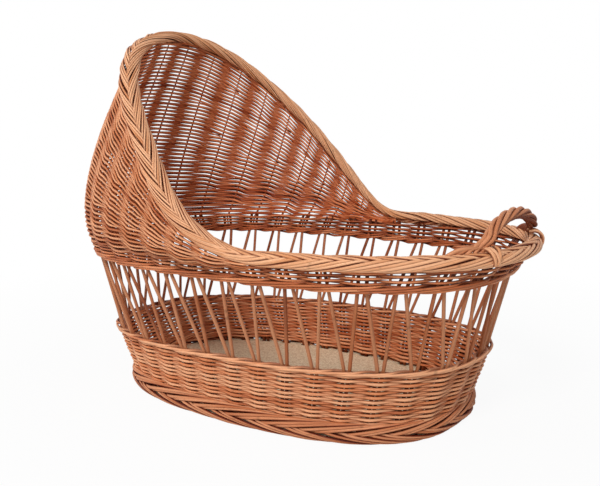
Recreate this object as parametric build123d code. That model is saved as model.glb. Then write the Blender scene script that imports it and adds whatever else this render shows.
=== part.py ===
from build123d import *
import math
import os

# Hooded wicker bassinet basket. Origin: centre of the base on the surface it rests on. +X foot, -X head, +Z up.

# Rods
stake_d = 7.0               # upright rods, worked in pairs
layer_thick = 3.2           # a layer of weaving rods, inside and outside the stakes
stake_gap = 1.6             # from a stake to the layers beside it, taken up where the wall turns
wale_d = 7.5                # heavy rods along the edges of the woven bands
clearance = 0.3             # between rods that touch
pair_gap = 0.8              # between the two stakes of a pair on the board
top_pair_gap = 5.4          # between the two stakes of a pair above the open band
pairs = 36                  # stake pairs round the basket
pair_lean = 0.08            # how far a top pair stands past the low one that it shares a stake with, in steps
lean_change = 0.25          # and how much further at the foot end
first_pair = 0.3            # place of the first pair, in steps from the foot end
rod_sides = 6
long_side = 0.75            # share of the length whose stakes count as near or far, not head or foot

# Ovals up the wall: half length, half width, centre, height at the centre, corner power, slope up to the foot
board_ring = dict(a=303.0, b=192.0, cx=0.0, z=12.0, power=2.55, slope=0.0)
lower_edge = dict(a=351.0, b=196.0, cx=-9.0, z=110.0, power=2.5, slope=0.032)
upper_edge = dict(a=378.0, b=220.0, cx=-8.0, z=239.0, power=2.6, slope=0.02)
rim_edge = dict(a=418.0, b=242.0, cx=-6.0, z=283.0, power=2.25, slope=0.029)

# Base
board_thick = 6.0
board_margin = 9.0          # board beyond the stakes
board_play = 1.8            # from the board to the foot border round it
slot_play = 4.2             # room round a stake pair in its slot
stake_foot = 4.8            # how far the stakes pass below the middle of the board
stake_short = 1.6           # from the tops of the stakes up to the top of the wall
foot_inside = 12.0          # foot border inside the stakes
foot_outside = 22.0         # foot border outside the stakes
foot_height = 13.0
foot_chamfer = 5.0
foot_wale_rows = 2

# Hood: its front edge is an arch in a sloping plane
arch_half_width = 268.0
arch_length = 434.0         # up the slope
arch_power = 2.2
arch_slope = 49.2           # degrees from the floor
arch_base = (10.0, 290.0)   # X and Z of the foot of the slope
arch_start = 60.0           # up the slope, above the bend out of the rim
arch_points = 11
rim_lead = (170.0, 120.0, 75.0)  # X where the border still lies on the rim, the last where the hood begins
hood_bulge = 30.0           # how far the back of the hood stands out
bulge_low = 0.8             # the bulge rises fast above the rim
bulge_high = 1.4            # and dies out slowly towards the arch
hood_rows = 12              # broad rows of weaving up the hood
row_thick = 2.2
row_gap = 0.8               # between two rows
row_start = 0.35            # share of its full height at which a row begins
row_tip = 0.14              # and that of its tip
rib_d = 4.6                 # rods that carry the hood, each set in between the two stakes of a pair
rib_gap = 1.8               # from a rib to the rows beside it
rib_close = 3               # lowest rows that a rib bends with one by one, above them it bends with every second
shortest_row = 9.0          # height of the hood where its first rows begin
shortest_rib = 30.0         # lowest place on the hood that has a rib

# Borders
border_strands = 3
rope_strand_d = 10.0        # one strand of the rim border, a bundle of thin rods
rope_radius = 7.0           # its strands are laid round this radius
rope_pitch = 300.0
plait_strand_d = 8.0        # one strand of the plait along the hood
plait_half_width = 11.6
plait_half_depth = 6.1
plait_pitch = 150.0
plait_turn = 0.2            # how far the plait turns from the sides towards the front
strand_steps = 6            # straight lengths in one pitch
plait_seat = 15.4           # from the wall up to the middle of the plait
hood_seat = 16.6            # from the edge of the hood to the middle of the plait
border_gap = 4.0            # between the ends of two borders

# Handle over the foot end
handle_half_span = 100.0
handle_rise = 49.0          # crown above the middle of the rim border
handle_core_d = 9.0
handle_wrap_d = 5.2
handle_wraps = 3
handle_pitch = 100.0
wrap_slack = 1.9            # between the core and the straight lengths of a wrap
leg_lift = 1.7              # from the rim border to the legs
handle_steps = 14
lashing_d = 5.0
lashing_rods = 3
lashing_out = 19.1          # from the middle of a leg to its lashing
lashing_seat = 1.3          # how far a lashing sinks between the strands of the border
lashing_from = 100.0        # degrees up from outwards, where a lashing lies over the border
lashing_to = -30.0          # and under it
lashing_steps = 5

half_pair = (stake_d + pair_gap) / 2
half_top_pair = (stake_d + top_pair_gap) / 2
row_out = (rib_d + row_thick) / 2 + rib_gap
layer_out = (stake_d + layer_thick) / 2 + stake_gap
layer_far = layer_out + layer_thick / 2
wale_out = (stake_d + wale_d) / 2 + 3 * clearance
board_under = board_ring["z"] - board_thick
rope_out = rope_radius + rope_strand_d / 2


def signed_power(value, exponent):
    return math.copysign(abs(value) ** exponent, value)


def oval_point(oval, angle):
    x = oval["a"] * signed_power(math.cos(angle), 2 / oval["power"])
    y = oval["b"] * signed_power(math.sin(angle), 2 / oval["power"])
    return Vector(oval["cx"] + x, y, oval["z"] + oval["slope"] * x)


def oval_outwards(oval, angle):
    share = 2 - 2 / oval["power"]
    x = signed_power(math.cos(angle), share) / oval["a"]
    y = signed_power(math.sin(angle), share) / oval["b"]
    return Vector(x, y, 0).normalized()


def sideways(outwards):
    return Vector(-outwards.Y, outwards.X, 0)


def oval_runs(oval, start, end, steps=1440):
    """Angles from start to end, with the length of wall passed at each."""
    angles = [start + (end - start) * i / steps for i in range(steps + 1)]
    runs = [0.0]
    for p, q in zip(angles, angles[1:]):
        runs.append(runs[-1] + (oval_point(oval, q) - oval_point(oval, p)).length)
    return angles, runs


def even_angles(oval, count, offset):
    """Angles that part an oval into equal lengths of wall, anticlockwise."""
    angles, runs = oval_runs(oval, 0, 2 * math.pi)
    found = []
    for k in range(count):
        target = runs[-1] * (k + offset) / count
        i = next(i for i, run in enumerate(runs) if run >= target)
        share = (target - runs[i - 1]) / (runs[i] - runs[i - 1])
        found.append(angles[i - 1] + share * (angles[i] - angles[i - 1]))
    return found


def angle_on(oval, angle, share):
    """Angle a share of the way round the oval past a given one."""
    angles, runs = oval_runs(oval, 0, 2 * math.pi)
    at = next(run for a, run in zip(angles, runs) if a >= angle % (2 * math.pi)) + share * runs[-1]
    return next(a for a, run in zip(angles, runs) if run >= at % runs[-1])


def angle_at(oval, x):
    """Angle on the far side where an oval reaches a given X."""
    share = (x - oval["cx"]) / oval["a"]
    return math.acos(signed_power(share, oval["power"] / 2))


def up_wall(low, high, angle, rise, out=0.0):
    """Point on the wall between two ovals, so far above the low one, or below the high one if negative."""
    foot, top = oval_point(low, angle), oval_point(high, angle)
    climb = (top - foot).normalized()
    outwards = oval_outwards(low, angle)
    level_out = out / math.sqrt(1 - climb.dot(outwards) ** 2)
    start = foot if rise >= 0 else top
    return start + climb * (rise / climb.Z) + outwards * level_out


def polygon_rod(points, diameter):
    """Straight lengths of rod along a line of points, mitred where they meet."""
    ways = [(q - p).normalized() for p, q in zip(points, points[1:])]
    start = Plane(points[0], z_dir=ways[0])
    ring = [start.from_local_coords(tuple(v)) for v in RegularPolygon(diameter / 2, rod_sides).vertices()]
    rings = [ring]
    for i, way in enumerate(ways):
        mitre = (way + ways[min(i + 1, len(ways) - 1)]).normalized()
        ring = [v + way * ((points[i + 1] - v).dot(mitre) / way.dot(mitre)) for v in ring]
        rings.append(ring)
    faces = [Face(Wire.make_polygon(end)) for end in (rings[0], rings[-1])]
    for low, high in zip(rings, rings[1:]):
        for k in range(rod_sides):
            corners = [low[k - 1], low[k], high[k], high[k - 1]]
            faces.append(Face(Wire.make_polygon(corners)))
    return Solid(Shell(faces))


def ring_rod(points, diameter):
    """A rod worked right round the wall, its two ends meeting between the first two points."""
    middle = (points[0] + points[1]) * 0.5
    end = middle + (points[0] - points[1]).normalized() * clearance
    return polygon_rod([middle] + points[1:] + [points[0], end], diameter)


def woven_layer(grid, middles, thick, closed):
    """A layer of weaving along rows of points on the wall, with its middle so far outwards at each column."""
    rows, columns = len(grid), len(grid[0])
    sheets = [[], []]
    for i in range(rows):
        for sheet in sheets:
            sheet.append([])
        for j in range(columns):
            beside = j if closed else min(max(j, 1), columns - 2)
            along = grid[i][(beside + 1) % columns] - grid[i][beside - 1]
            up = grid[min(i + 1, rows - 1)][beside] - grid[max(i - 1, 0)][beside]
            outwards = along.cross(up).normalized()
            level = Vector(outwards.X, outwards.Y, 0) / (outwards.X ** 2 + outwards.Y ** 2)
            sheets[0][i].append(grid[i][j] + level * (middles[j] - thick / 2))
            sheets[1][i].append(grid[i][j] + level * (middles[j] + thick / 2))
    faces = []

    def quad(a, b, c, d):
        faces.append(Face(Wire.make_polygon([a, b, c])))
        faces.append(Face(Wire.make_polygon([a, c, d])))

    for j in range(columns if closed else columns - 1):
        k = (j + 1) % columns
        for sheet in sheets:
            for low, high in zip(sheet, sheet[1:]):
                quad(low[j], low[k], high[k], high[j])
        for i in (0, -1):
            quad(sheets[0][i][j], sheets[0][i][k], sheets[1][i][k], sheets[1][i][j])
    if not closed:
        for j in (0, -1):
            for i in range(rows - 1):
                quad(sheets[0][i][j], sheets[0][i + 1][j], sheets[1][i + 1][j], sheets[1][i][j])
    return Solid(Shell(faces))


def save(name, *solids):
    """One node: one piece, or separate pieces of one kind."""
    shape = solids[0] if len(solids) == 1 else Compound(children=list(solids))
    shape.label = name
    export_step(shape, f"parts/{name}.step")


os.makedirs("parts", exist_ok=True)

# Low places stand on the base. High ones stand in the upper band, where neighbouring pairs have swapped partners
low_places = even_angles(lower_edge, pairs, first_pair)
high_places = []
for angle in low_places:
    lean = pair_lean + lean_change * oval_point(lower_edge, angle).X / lower_edge["a"]
    high_places.append(angle_on(lower_edge, angle, lean / pairs))


# ---- Base board, with a slot for each pair of stakes ----
outline = [oval_point(board_ring, a) + oval_outwards(board_ring, a) * board_margin for a in low_places]
board = extrude(Face(Wire.make_polygon([(p.X, p.Y, board_under) for p in outline])), board_thick)
slot_length = 2 * stake_d + pair_gap + slot_play
slot_width = stake_d + slot_play
slots = []
for angle in low_places:
    outwards = oval_outwards(board_ring, angle)
    middle = up_wall(board_ring, lower_edge, angle, 0)
    plane = Plane((middle.X, middle.Y, board_ring["z"] - board_thick / 2), x_dir=sideways(outwards))
    slots.append(plane * Box(slot_length, slot_width, 2 * board_thick))
board = board - slots
save("base_board", board)

# ---- Foot border: rods rolled round the edge of the board, flat where they rest ----
ledge = board_margin + board_play
foot_section = [
    (-foot_inside, 0), (foot_outside - foot_chamfer, 0), (foot_outside, foot_chamfer),
    (foot_outside, foot_height - foot_chamfer), (foot_outside - foot_chamfer, foot_height),
    (ledge, foot_height), (ledge, board_under - clearance), (-foot_inside, board_under - clearance),
]
corners = [oval_point(board_ring, a) for a in low_places]
corners = [Vector(p.X, p.Y, 0) for p in corners]
foot_path = Polyline(*corners, close=True)
along = corners[1] - corners[0]
foot_plane = Plane(corners[0], x_dir=Vector(along.Y, -along.X, 0), z_dir=-along)
foot_face = Face(Wire.make_polygon([foot_plane.from_local_coords((u, z)) for u, z in foot_section]))
foot_border = sweep(foot_face, path=foot_path, transition=Transition.RIGHT).clean()
save("foot_border", foot_border)

# ---- Heavy rows round the foot ----
for row in range(foot_wale_rows):
    rise = foot_height - board_ring["z"] + clearance + wale_d / 2 + row * (wale_d + clearance)
    out = layer_far + 2 * clearance + wale_d / 2
    ring = [up_wall(board_ring, lower_edge, a, rise, out) for a in low_places]
    save(f"foot_wale_{row + 1}", ring_rod(ring, wale_d))

# ---- Lower band: two layers of weaving with the stakes between them, and a heavy row on top ----
band_bottom = clearance
band_top = -(wale_d + clearance)
grid = [[up_wall(board_ring, lower_edge, a, rise) for a in low_places] for rise in (band_bottom, band_top)]
save("lower_weave_outer", woven_layer(grid, [layer_out] * pairs, layer_thick, True))
save("lower_weave_inner", woven_layer(grid, [-layer_out] * pairs, layer_thick, True))
for name, side in (("outer", 1), ("inner", -1)):
    ring = [up_wall(board_ring, lower_edge, a, -wale_d / 2, side * wale_out) for a in low_places]
    save(f"lower_top_wale_{name}", ring_rod(ring, wale_d))

# ---- Upper band, from its heavy bottom row to the rim ----
for name, side in (("outer", 1), ("inner", -1)):
    ring = [up_wall(upper_edge, rim_edge, a, wale_d / 2, side * wale_out) for a in high_places]
    save(f"upper_bottom_wale_{name}", ring_rod(ring, wale_d))


def wall_top(angle):
    """Point on the wall just under the border, which is deeper where the plait of the hood begins."""
    under_rope = oval_point(rim_edge, angle).X > rim_lead[0]
    return up_wall(upper_edge, rim_edge, angle, -rope_out - clearance if under_rope else -plait_seat)


grid = [
    [up_wall(upper_edge, rim_edge, a, wale_d + clearance) for a in high_places],
    [wall_top(a) for a in high_places],
]
save("upper_weave_outer", woven_layer(grid, [layer_out] * pairs, layer_thick, True))
save("upper_weave_inner", woven_layer(grid, [-layer_out] * pairs, layer_thick, True))

# ---- Hood: front edge ----
arch_up = Vector(-math.cos(math.radians(arch_slope)), 0, math.sin(math.radians(arch_slope)))
arch_front = Vector(arch_up.Z, 0, -arch_up.X)
low_turn = math.asin((arch_start / arch_length) ** (arch_power / 2))
edge_points = [oval_point(rim_edge, -angle_at(rim_edge, x)) for x in rim_lead]
for k in range(arch_points):
    turn = low_turn + (math.pi - 2 * low_turn) * k / (arch_points - 1)
    across = -arch_half_width * signed_power(math.cos(turn), 2 / arch_power)
    up = arch_length * math.sin(turn) ** (2 / arch_power)
    edge_points.append(Vector(arch_base[0], across, arch_base[1]) + arch_up * up)
edge_points += [oval_point(rim_edge, angle_at(rim_edge, x)) for x in reversed(rim_lead)]
hood_edge = Spline(*edge_points)
join_share = 0.0
for p, q in zip(edge_points[:2], edge_points[1:3]):
    join_share += (q - p).length / hood_edge.length

# ---- Hood: the wall from the rim up to that edge ----
join_angle = angle_at(rim_edge, rim_lead[-1])
rim_angles, rim_runs = oval_runs(rim_edge, join_angle, 2 * math.pi - join_angle)


def hood_line(angle, shares):
    """Points up the hood above a place on the rim, at shares of the way to its front edge."""
    run = next(r for a, r in zip(rim_angles, rim_runs) if a >= angle)
    share = run / rim_runs[-1]
    top = hood_edge @ (1 - join_share - share * (1 - 2 * join_share))
    foot = wall_top(angle) + Vector(0, 0, clearance)
    chord = (top - foot).normalized()
    outwards = oval_outwards(rim_edge, angle)
    outwards = (outwards - chord * outwards.dot(chord)).normalized()
    most = bulge_low / (bulge_low + bulge_high)
    peak = most ** bulge_low * (1 - most) ** bulge_high
    end = 1 - hood_seat / (top - foot).length
    points = []
    for part in shares:
        v = part * end
        bulge = hood_bulge * math.sqrt(math.sin(math.pi * share)) * v ** bulge_low * (1 - v) ** bulge_high / peak
        points.append(foot + (top - foot) * v + outwards * bulge)
    return points


def hood_height(angle):
    line = hood_line(angle, (0, 1))
    return (line[1] - line[0]).Z


hood_places = [a for a in high_places if rim_angles[0] < a < rim_angles[-1] and hood_height(a) > shortest_rib]
hood_places.sort()
first_column = next(a for a in rim_angles[1:] if hood_height(a) > shortest_row)
columns = [first_column] + hood_places + [2 * math.pi - first_column]
heights = [hood_height(a) for a in columns]


def evenly_spread(k):
    """Turns 0, 1, 2, 3... into 0, 1/2, 1/4, 3/4... so that the first few are always well apart."""
    value, step = 0.0, 0.5
    while k:
        value += step * (k % 2)
        k //= 2
        step /= 2
    return value


def row_shares(row):
    """How fully a row is there at each column: as the hood gets lower, rows end in twos, each in a thin tip."""
    shares = [(height / max(heights) - evenly_spread(row // 2)) * hood_rows / 2 for height in heights]
    shares = [min(share, 1.0) if share > row_start else 0.0 for share in shares]
    if row < 2:
        return [1.0] * len(shares)
    beside = [max(p, q) for p, q in zip([0.0] + shares[:-1], shares[1:] + [0.0])]
    return [share or (row_tip if near else 0.0) for share, near in zip(shares, beside)]


row_parts = [row_shares(row) for row in range(hood_rows)]
hood_solids = ([], [])
for row in range(hood_rows):
    low_line, high_line, middles = [], [], []
    for j, (angle, height) in enumerate(zip(columns, heights)):
        parts = [line[j] for line in row_parts]
        if not parts[row]:
            continue
        low = sum(parts[:row]) / sum(parts)
        high = sum(parts[:row + 1]) / sum(parts) - row_gap / height
        points = hood_line(angle, (low, high))
        low_line.append(points[0])
        high_line.append(points[1])
        at_rib = 0 < j < len(columns) - 1
        middles.append(row_out * (-1) ** (row + j) if at_rib else 0.0)
    hood_solids[row % 2].append(woven_layer([low_line, high_line], middles, row_thick, False))
save("hood_weave_outer", *hood_solids[0])
save("hood_weave_inner", *hood_solids[1])

# ---- Ribs of the hood, from the upper band to its front edge ----
ribs = []
for angle in hood_places:
    parts = [line[columns.index(angle)] for line in row_parts]
    edges = [sum(parts[:row + 1]) / sum(parts) for row, part in enumerate(parts) if part > row_tip]
    last = len(edges) - 1
    edges = [edge for i, edge in enumerate(edges) if i < rib_close or i % 2 == 0 or i == last]
    points = [up_wall(upper_edge, rim_edge, angle, wale_d / 2), wall_top(angle)] + hood_line(angle, edges)
    ribs.append(polygon_rod(points, rib_d))
save("stakes_hood", *ribs)

# ---- Stakes: up from the board, spread and swapped through the open band, gathered again above it ----
groups = dict(near=[], far=[], head=[], foot=[])
for k, low in enumerate(low_places):
    for side, high in ((1, high_places[k]), (-1, high_places[k - 1])):
        low_shift = sideways(oval_outwards(lower_edge, low)) * (side * half_pair)
        high_shift = sideways(oval_outwards(upper_edge, high)) * (-side * half_top_pair)
        points = [
            up_wall(board_ring, lower_edge, low, 0) + low_shift,
            up_wall(board_ring, lower_edge, low, -wale_d / 2) + low_shift,
            up_wall(upper_edge, rim_edge, high, wale_d / 2) + high_shift,
            wall_top(high) + high_shift - Vector(0, 0, stake_short),
        ]
        into_board = (points[0] - points[1]).normalized()
        points[0] = points[0] + into_board * stake_foot
        p = points[0]
        if abs(p.X) > board_ring["a"] * long_side:
            group = "foot" if p.X > 0 else "head"
        else:
            group = "far" if p.Y > 0 else "near"
        groups[group].append(polygon_rod(points, stake_d))
for group, rods in groups.items():
    save(f"stakes_{group}", *rods)


# ---- Borders ----
def save_strands(name, place, length, pitch, swing, diameter):
    """Strands laid round a line, each a share of a turn behind the last; swing gives width and depth."""
    steps = round(length / pitch * strand_steps)
    for s in range(border_strands):
        points = []
        for i in range(steps + 1):
            middle, wide, deep = place(i / steps)
            u, v = swing(2 * math.pi * ((i + 0.5) / strand_steps + s / border_strands))
            points.append(middle + wide * u + deep * v)
        save(f"{name}_strand_{s + 1}", polygon_rod(points, diameter))


def rope_swing(turn):
    return rope_radius * math.cos(turn), rope_radius * math.sin(turn)


def plait_swing(turn):
    return plait_half_width * math.sin(turn), plait_half_depth * math.sin(2 * turn)


lead_angle = angle_at(rim_edge, rim_lead[0])
border_angles, border_runs = oval_runs(rim_edge, -lead_angle, lead_angle)


def on_rim_border(share):
    target = border_gap + share * (border_runs[-1] - 2 * border_gap)
    angle = next(a for a, r in zip(border_angles, border_runs) if r >= target)
    return oval_point(rim_edge, angle), oval_outwards(rim_edge, angle), Vector(0, 0, 1)


def on_hood_border(share):
    middle = hood_edge @ share
    along = hood_edge % share
    outwards = Vector((middle.X - arch_base[0]) * plait_turn, middle.Y, 0)
    face = (arch_front + outwards.normalized()).normalized()
    face = (face - along * face.dot(along)).normalized()
    return middle, along.cross(face), face


save_strands("rim_border", on_rim_border, border_runs[-1], rope_pitch, rope_swing, rope_strand_d)
save_strands("hood_border", on_hood_border, hood_edge.length, plait_pitch, plait_swing, plait_strand_d)

# ---- Handle: an arch of roped rods over the foot end, lashed to the rim ----
leg_turn = math.asin(signed_power(handle_half_span / rim_edge["b"], rim_edge["power"] / 2))
leg = oval_point(rim_edge, leg_turn)
leg_top = leg.Z + rope_out + leg_lift
wrap_radius = (handle_core_d + handle_wrap_d) / 2 + wrap_slack


def on_handle(share):
    turn = math.pi * share
    rise = leg.Z + handle_rise - leg_top
    middle = Vector(leg.X, -handle_half_span * math.cos(turn), leg_top + rise * math.sin(turn))
    along = Vector(0, handle_half_span * math.sin(turn), rise * math.cos(turn)).normalized()
    return middle, along


core = [on_handle(i / handle_steps)[0] for i in range(handle_steps + 1)]
save("handle_core", polygon_rod(core, handle_core_d))
handle_length = sum((q - p).length for p, q in zip(core, core[1:]))
wraps = []
for s in range(handle_wraps):
    points = []
    for i in range(handle_steps + 1):
        middle, along = on_handle(i / handle_steps)
        turn = 2 * math.pi * (i / handle_steps * handle_length / handle_pitch + s / handle_wraps)
        inwards = Vector(1, 0, 0)
        points.append(middle + (inwards * math.cos(turn) + inwards.cross(along) * math.sin(turn)) * wrap_radius)
    wraps.append(polygon_rod(points, handle_wrap_d))
save("handle_wraps", *wraps)

for name, side in (("near", -1), ("far", 1)):
    rods = []
    for k in range(lashing_rods):
        shift = (k - (lashing_rods - 1) / 2) * (lashing_d + clearance)
        angle = side * leg_turn
        outwards = oval_outwards(rim_edge, angle)
        middle = oval_point(rim_edge, angle) + sideways(outwards) * (shift + side * lashing_out)
        reach = rope_out + clearance + lashing_d / 2 - lashing_seat
        points = []
        for i in range(lashing_steps + 1):
            turn = math.radians(lashing_from + (lashing_to - lashing_from) * i / lashing_steps)
            points.append(middle + outwards * (reach * math.cos(turn)) + Vector(0, 0, reach * math.sin(turn)))
        rods.append(polygon_rod(points, lashing_d))
    save(f"handle_lashing_{name}", *rods)
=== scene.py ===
import math
import bpy
import numpy as np
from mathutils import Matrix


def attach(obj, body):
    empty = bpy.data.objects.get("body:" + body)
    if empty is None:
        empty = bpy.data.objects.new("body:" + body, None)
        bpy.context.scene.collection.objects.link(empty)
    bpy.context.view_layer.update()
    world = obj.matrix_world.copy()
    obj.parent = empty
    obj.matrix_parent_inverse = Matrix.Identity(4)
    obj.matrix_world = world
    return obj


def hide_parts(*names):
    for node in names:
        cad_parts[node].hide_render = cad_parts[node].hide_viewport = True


# A hooded basket of buff willow. Lengths here are millimetres and become metres when a mesh is made.
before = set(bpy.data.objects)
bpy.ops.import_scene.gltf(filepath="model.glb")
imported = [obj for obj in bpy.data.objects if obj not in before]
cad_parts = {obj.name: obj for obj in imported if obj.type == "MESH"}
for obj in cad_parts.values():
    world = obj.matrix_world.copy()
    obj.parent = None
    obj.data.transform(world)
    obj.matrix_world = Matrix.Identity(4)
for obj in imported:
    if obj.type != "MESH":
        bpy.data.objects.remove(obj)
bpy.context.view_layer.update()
chance = np.random.default_rng(7)

# ---- Where the walls run ----
basket = {
    "pairs": 36, "firstPair": 0.3,          # pairs of stakes, and the place of the first
    "stakeWide": 7.0, "pairGap": 0.8, "topGap": 5.4,
    "lean": 0.08, "leanMore": 0.25,         # in pairs: how far a pair's top is past its foot
    "boardRing": dict(a=303.0, b=192.0, cx=0.0, z=12.0, power=2.55, slope=0.0),
    "lowerEdge": dict(a=351.0, b=196.0, cx=-9.0, z=110.0, power=2.5, slope=0.032),
    "upperEdge": dict(a=378.0, b=220.0, cx=-8.0, z=239.0, power=2.6, slope=0.02),
    "rimEdge": dict(a=418.0, b=242.0, cx=-6.0, z=283.0, power=2.25, slope=0.029),
    "rimLead": (170.0, 120.0, 75.0),        # X where the hood's border still lies on the rim
    "ropeOut": 12.0,                        # half the thickness of the rim border
    "plaitSeat": 15.4,                      # from the wall's top up to the middle of the hood's plait
    "plaitFrom": 200.0, "plaitFade": 60.0,  # X where the wall's top starts to fall from the one to the other
    "fine": 1440,                           # steps in which an oval's length is measured
}
hood = {
    "halfWidth": 268.0, "length": 434.0, "power": 2.2, "slope": 49.2,
    "baseX": 10.0, "baseZ": 290.0, "start": 60.0, "points": 11,
    "bulge": 30.0, "low": 0.8, "high": 1.4,  # how far the back stands out, and how that rises and dies away
    "seat": 6.0,                            # from the top of the weave to the middle of the plait
    "clear": 0.3,                           # from the upper band to the hood's first row
    "edgeSteps": 1200,
}
boardRing, lowerEdge = basket["boardRing"], basket["lowerEdge"]
upperEdge, rimEdge = basket["upperEdge"], basket["rimEdge"]
upwards = np.array([0.0, 0.0, 1.0])


def dot(a, b):
    return (a * b).sum(-1, keepdims=True)


def unit(a):
    return a / np.linalg.norm(a, axis=-1, keepdims=True)


def signedPower(value, exponent):
    return np.sign(value) * np.abs(value) ** exponent


def gapsOf(line):                       # distances between a line's points
    return np.linalg.norm(np.diff(line, axis=0), axis=1)


def runOf(line):                        # how far along the line each of its points lies
    return np.concatenate([[0.0], np.cumsum(gapsOf(line))])


def alongLine(run, runs, line):         # the points so far along it
    return np.stack([np.interp(run, runs, line[:, axis]) for axis in range(3)], -1)


def ovalPoint(oval, angle):             # superellipse: half sizes times cos and sin to the power of 2/power
    angle = np.asarray(angle, float)
    x = oval["a"] * signedPower(np.cos(angle), 2 / oval["power"])
    y = oval["b"] * signedPower(np.sin(angle), 2 / oval["power"])
    return np.stack([oval["cx"] + x, y, oval["z"] + oval["slope"] * x], -1)


def ovalOut(oval, angle):               # level direction square to the superellipse
    share = 2 - 2 / oval["power"]
    x = signedPower(np.cos(angle), share) / oval["a"]
    y = signedPower(np.sin(angle), share) / oval["b"]
    return unit(np.stack([x, y, np.zeros_like(x)], -1))


def sideways(out):
    return np.stack([-out[..., 1], out[..., 0], np.zeros_like(out[..., 0])], -1)


def runsOf(oval, start, end):           # angles along the oval, and how far along it each lies
    angles = np.linspace(start, end, basket["fine"] + 1)
    return angles, runOf(ovalPoint(oval, angles))


ringAngles, ringRuns = runsOf(lowerEdge, 0.0, 2 * math.pi)


def angleOf(pair):                      # the angle of a place counted in pairs of stakes
    turns = (np.asarray(pair, float) + basket["firstPair"]) / basket["pairs"]
    whole = np.floor(turns)
    return np.interp((turns - whole) * ringRuns[-1], ringRuns, ringAngles) + 2 * math.pi * whole


def highAngle(pair):                    # the same for places in the upper band and the hood
    pair = np.asarray(pair, float)
    lean = basket["leanMore"] * ovalPoint(lowerEdge, angleOf(pair))[..., 0] / lowerEdge["a"]
    return angleOf(pair + basket["lean"] + lean)


def highPair(angle):
    table = np.linspace(0, basket["pairs"], basket["fine"] + 1)
    return np.interp(angle, highAngle(table), table)


def angleAt(oval, x):                   # angle on the far side where the oval reaches x
    return math.acos(signedPower((x - oval["cx"]) / oval["a"], oval["power"] / 2))


def upWall(low, high, angle, rise, out=0.0):
    # a point between two ovals, rise above the low one or below the high one, out from the wall
    angle = np.asarray(angle, float)
    rise = np.broadcast_to(np.asarray(rise, float), angle.shape)[..., None]
    out = np.broadcast_to(np.asarray(out, float), angle.shape)[..., None]
    foot, top = ovalPoint(low, angle), ovalPoint(high, angle)
    climb = unit(top - foot)
    away = ovalOut(low, angle)
    level = out / np.sqrt(1 - dot(climb, away) ** 2)
    return np.where(rise >= 0, foot, top) + climb * (rise / climb[..., 2:]) + away * level


def ease(value):                        # 0 to 1, level at both ends
    value = np.clip(value, 0.0, 1.0)
    return value * value * (3 - 2 * value)


def wallTop(angle):                     # how far below the rim's line the weaving ends
    onHood = ease((basket["plaitFrom"] - ovalPoint(rimEdge, angle)[..., 0]) / basket["plaitFade"])
    return basket["ropeOut"] + (basket["plaitSeat"] - basket["ropeOut"]) * onHood


def lineThrough(points, count):
    # a cubic through the points whose slope and bend run on through each, then cut into even lengths
    finer = 6                           # how many more points are worked out than are kept
    points = np.asarray(points, float)
    gaps = gapsOf(points)
    slopes = np.diff(points, axis=0) / gaps[:, None]
    last = len(points) - 1
    system, right = np.zeros((last + 1, last + 1)), np.zeros((last + 1, 3))
    system[0, :2], right[0] = (2, 1), 3 * slopes[0]
    system[last, last - 1:], right[last] = (1, 2), 3 * slopes[-1]
    for i in range(1, last):
        system[i, i - 1:i + 2] = gaps[i], 2 * (gaps[i - 1] + gaps[i]), gaps[i - 1]
        right[i] = 3 * (gaps[i] * slopes[i - 1] + gaps[i - 1] * slopes[i])
    ways = np.linalg.solve(system, right)
    knots = runOf(points)
    at = np.linspace(0, knots[-1], count * finer)
    k = np.clip(np.searchsorted(knots, at, "right") - 1, 0, last - 1)
    gap, x = gaps[k][:, None], ((at - knots[k]) / gaps[k])[:, None]
    fine = (points[k] * (1 + 2 * x) * (1 - x) ** 2 + points[k + 1] * x * x * (3 - 2 * x)
            + ways[k] * gap * x * (1 - x) ** 2 - ways[k + 1] * gap * x * x * (1 - x))
    return evenly(fine, count)


def evenly(line, count):                # the same line cut into even lengths
    runs = runOf(line)
    return alongLine(np.linspace(0, runs[-1], count), runs, line)


# Front edge of the hood: along the rim, up an arch in a sloping plane, and back to the rim
slope = math.radians(hood["slope"])
archUp = np.array([-math.cos(slope), 0.0, math.sin(slope)])
archFront = np.array([archUp[2], 0.0, -archUp[0]])
lowTurn = math.asin((hood["start"] / hood["length"]) ** (hood["power"] / 2))
turns = np.linspace(lowTurn, math.pi - lowTurn, hood["points"])
arch = archUp * (hood["length"] * np.sin(turns) ** (2 / hood["power"]))[:, None]
arch = arch + np.array([hood["baseX"], 0.0, hood["baseZ"]])
arch[:, 1] -= hood["halfWidth"] * signedPower(np.cos(turns), 2 / hood["power"])
lead = np.array([ovalPoint(rimEdge, angleAt(rimEdge, x)) for x in basket["rimLead"]])
edgePoints = np.concatenate([lead * (1, -1, 1), arch, lead[::-1]])
hoodEdge = lineThrough(edgePoints, hood["edgeSteps"])
joinShare = gapsOf(lead).sum() / gapsOf(hoodEdge).sum()
joinAngle = angleAt(rimEdge, basket["rimLead"][-1])
rimAngles, rimRuns = runsOf(rimEdge, joinAngle, 2 * math.pi - joinAngle)


def alongEdge(share):
    return alongLine(share, np.linspace(0, 1, len(hoodEdge)), hoodEdge)


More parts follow.
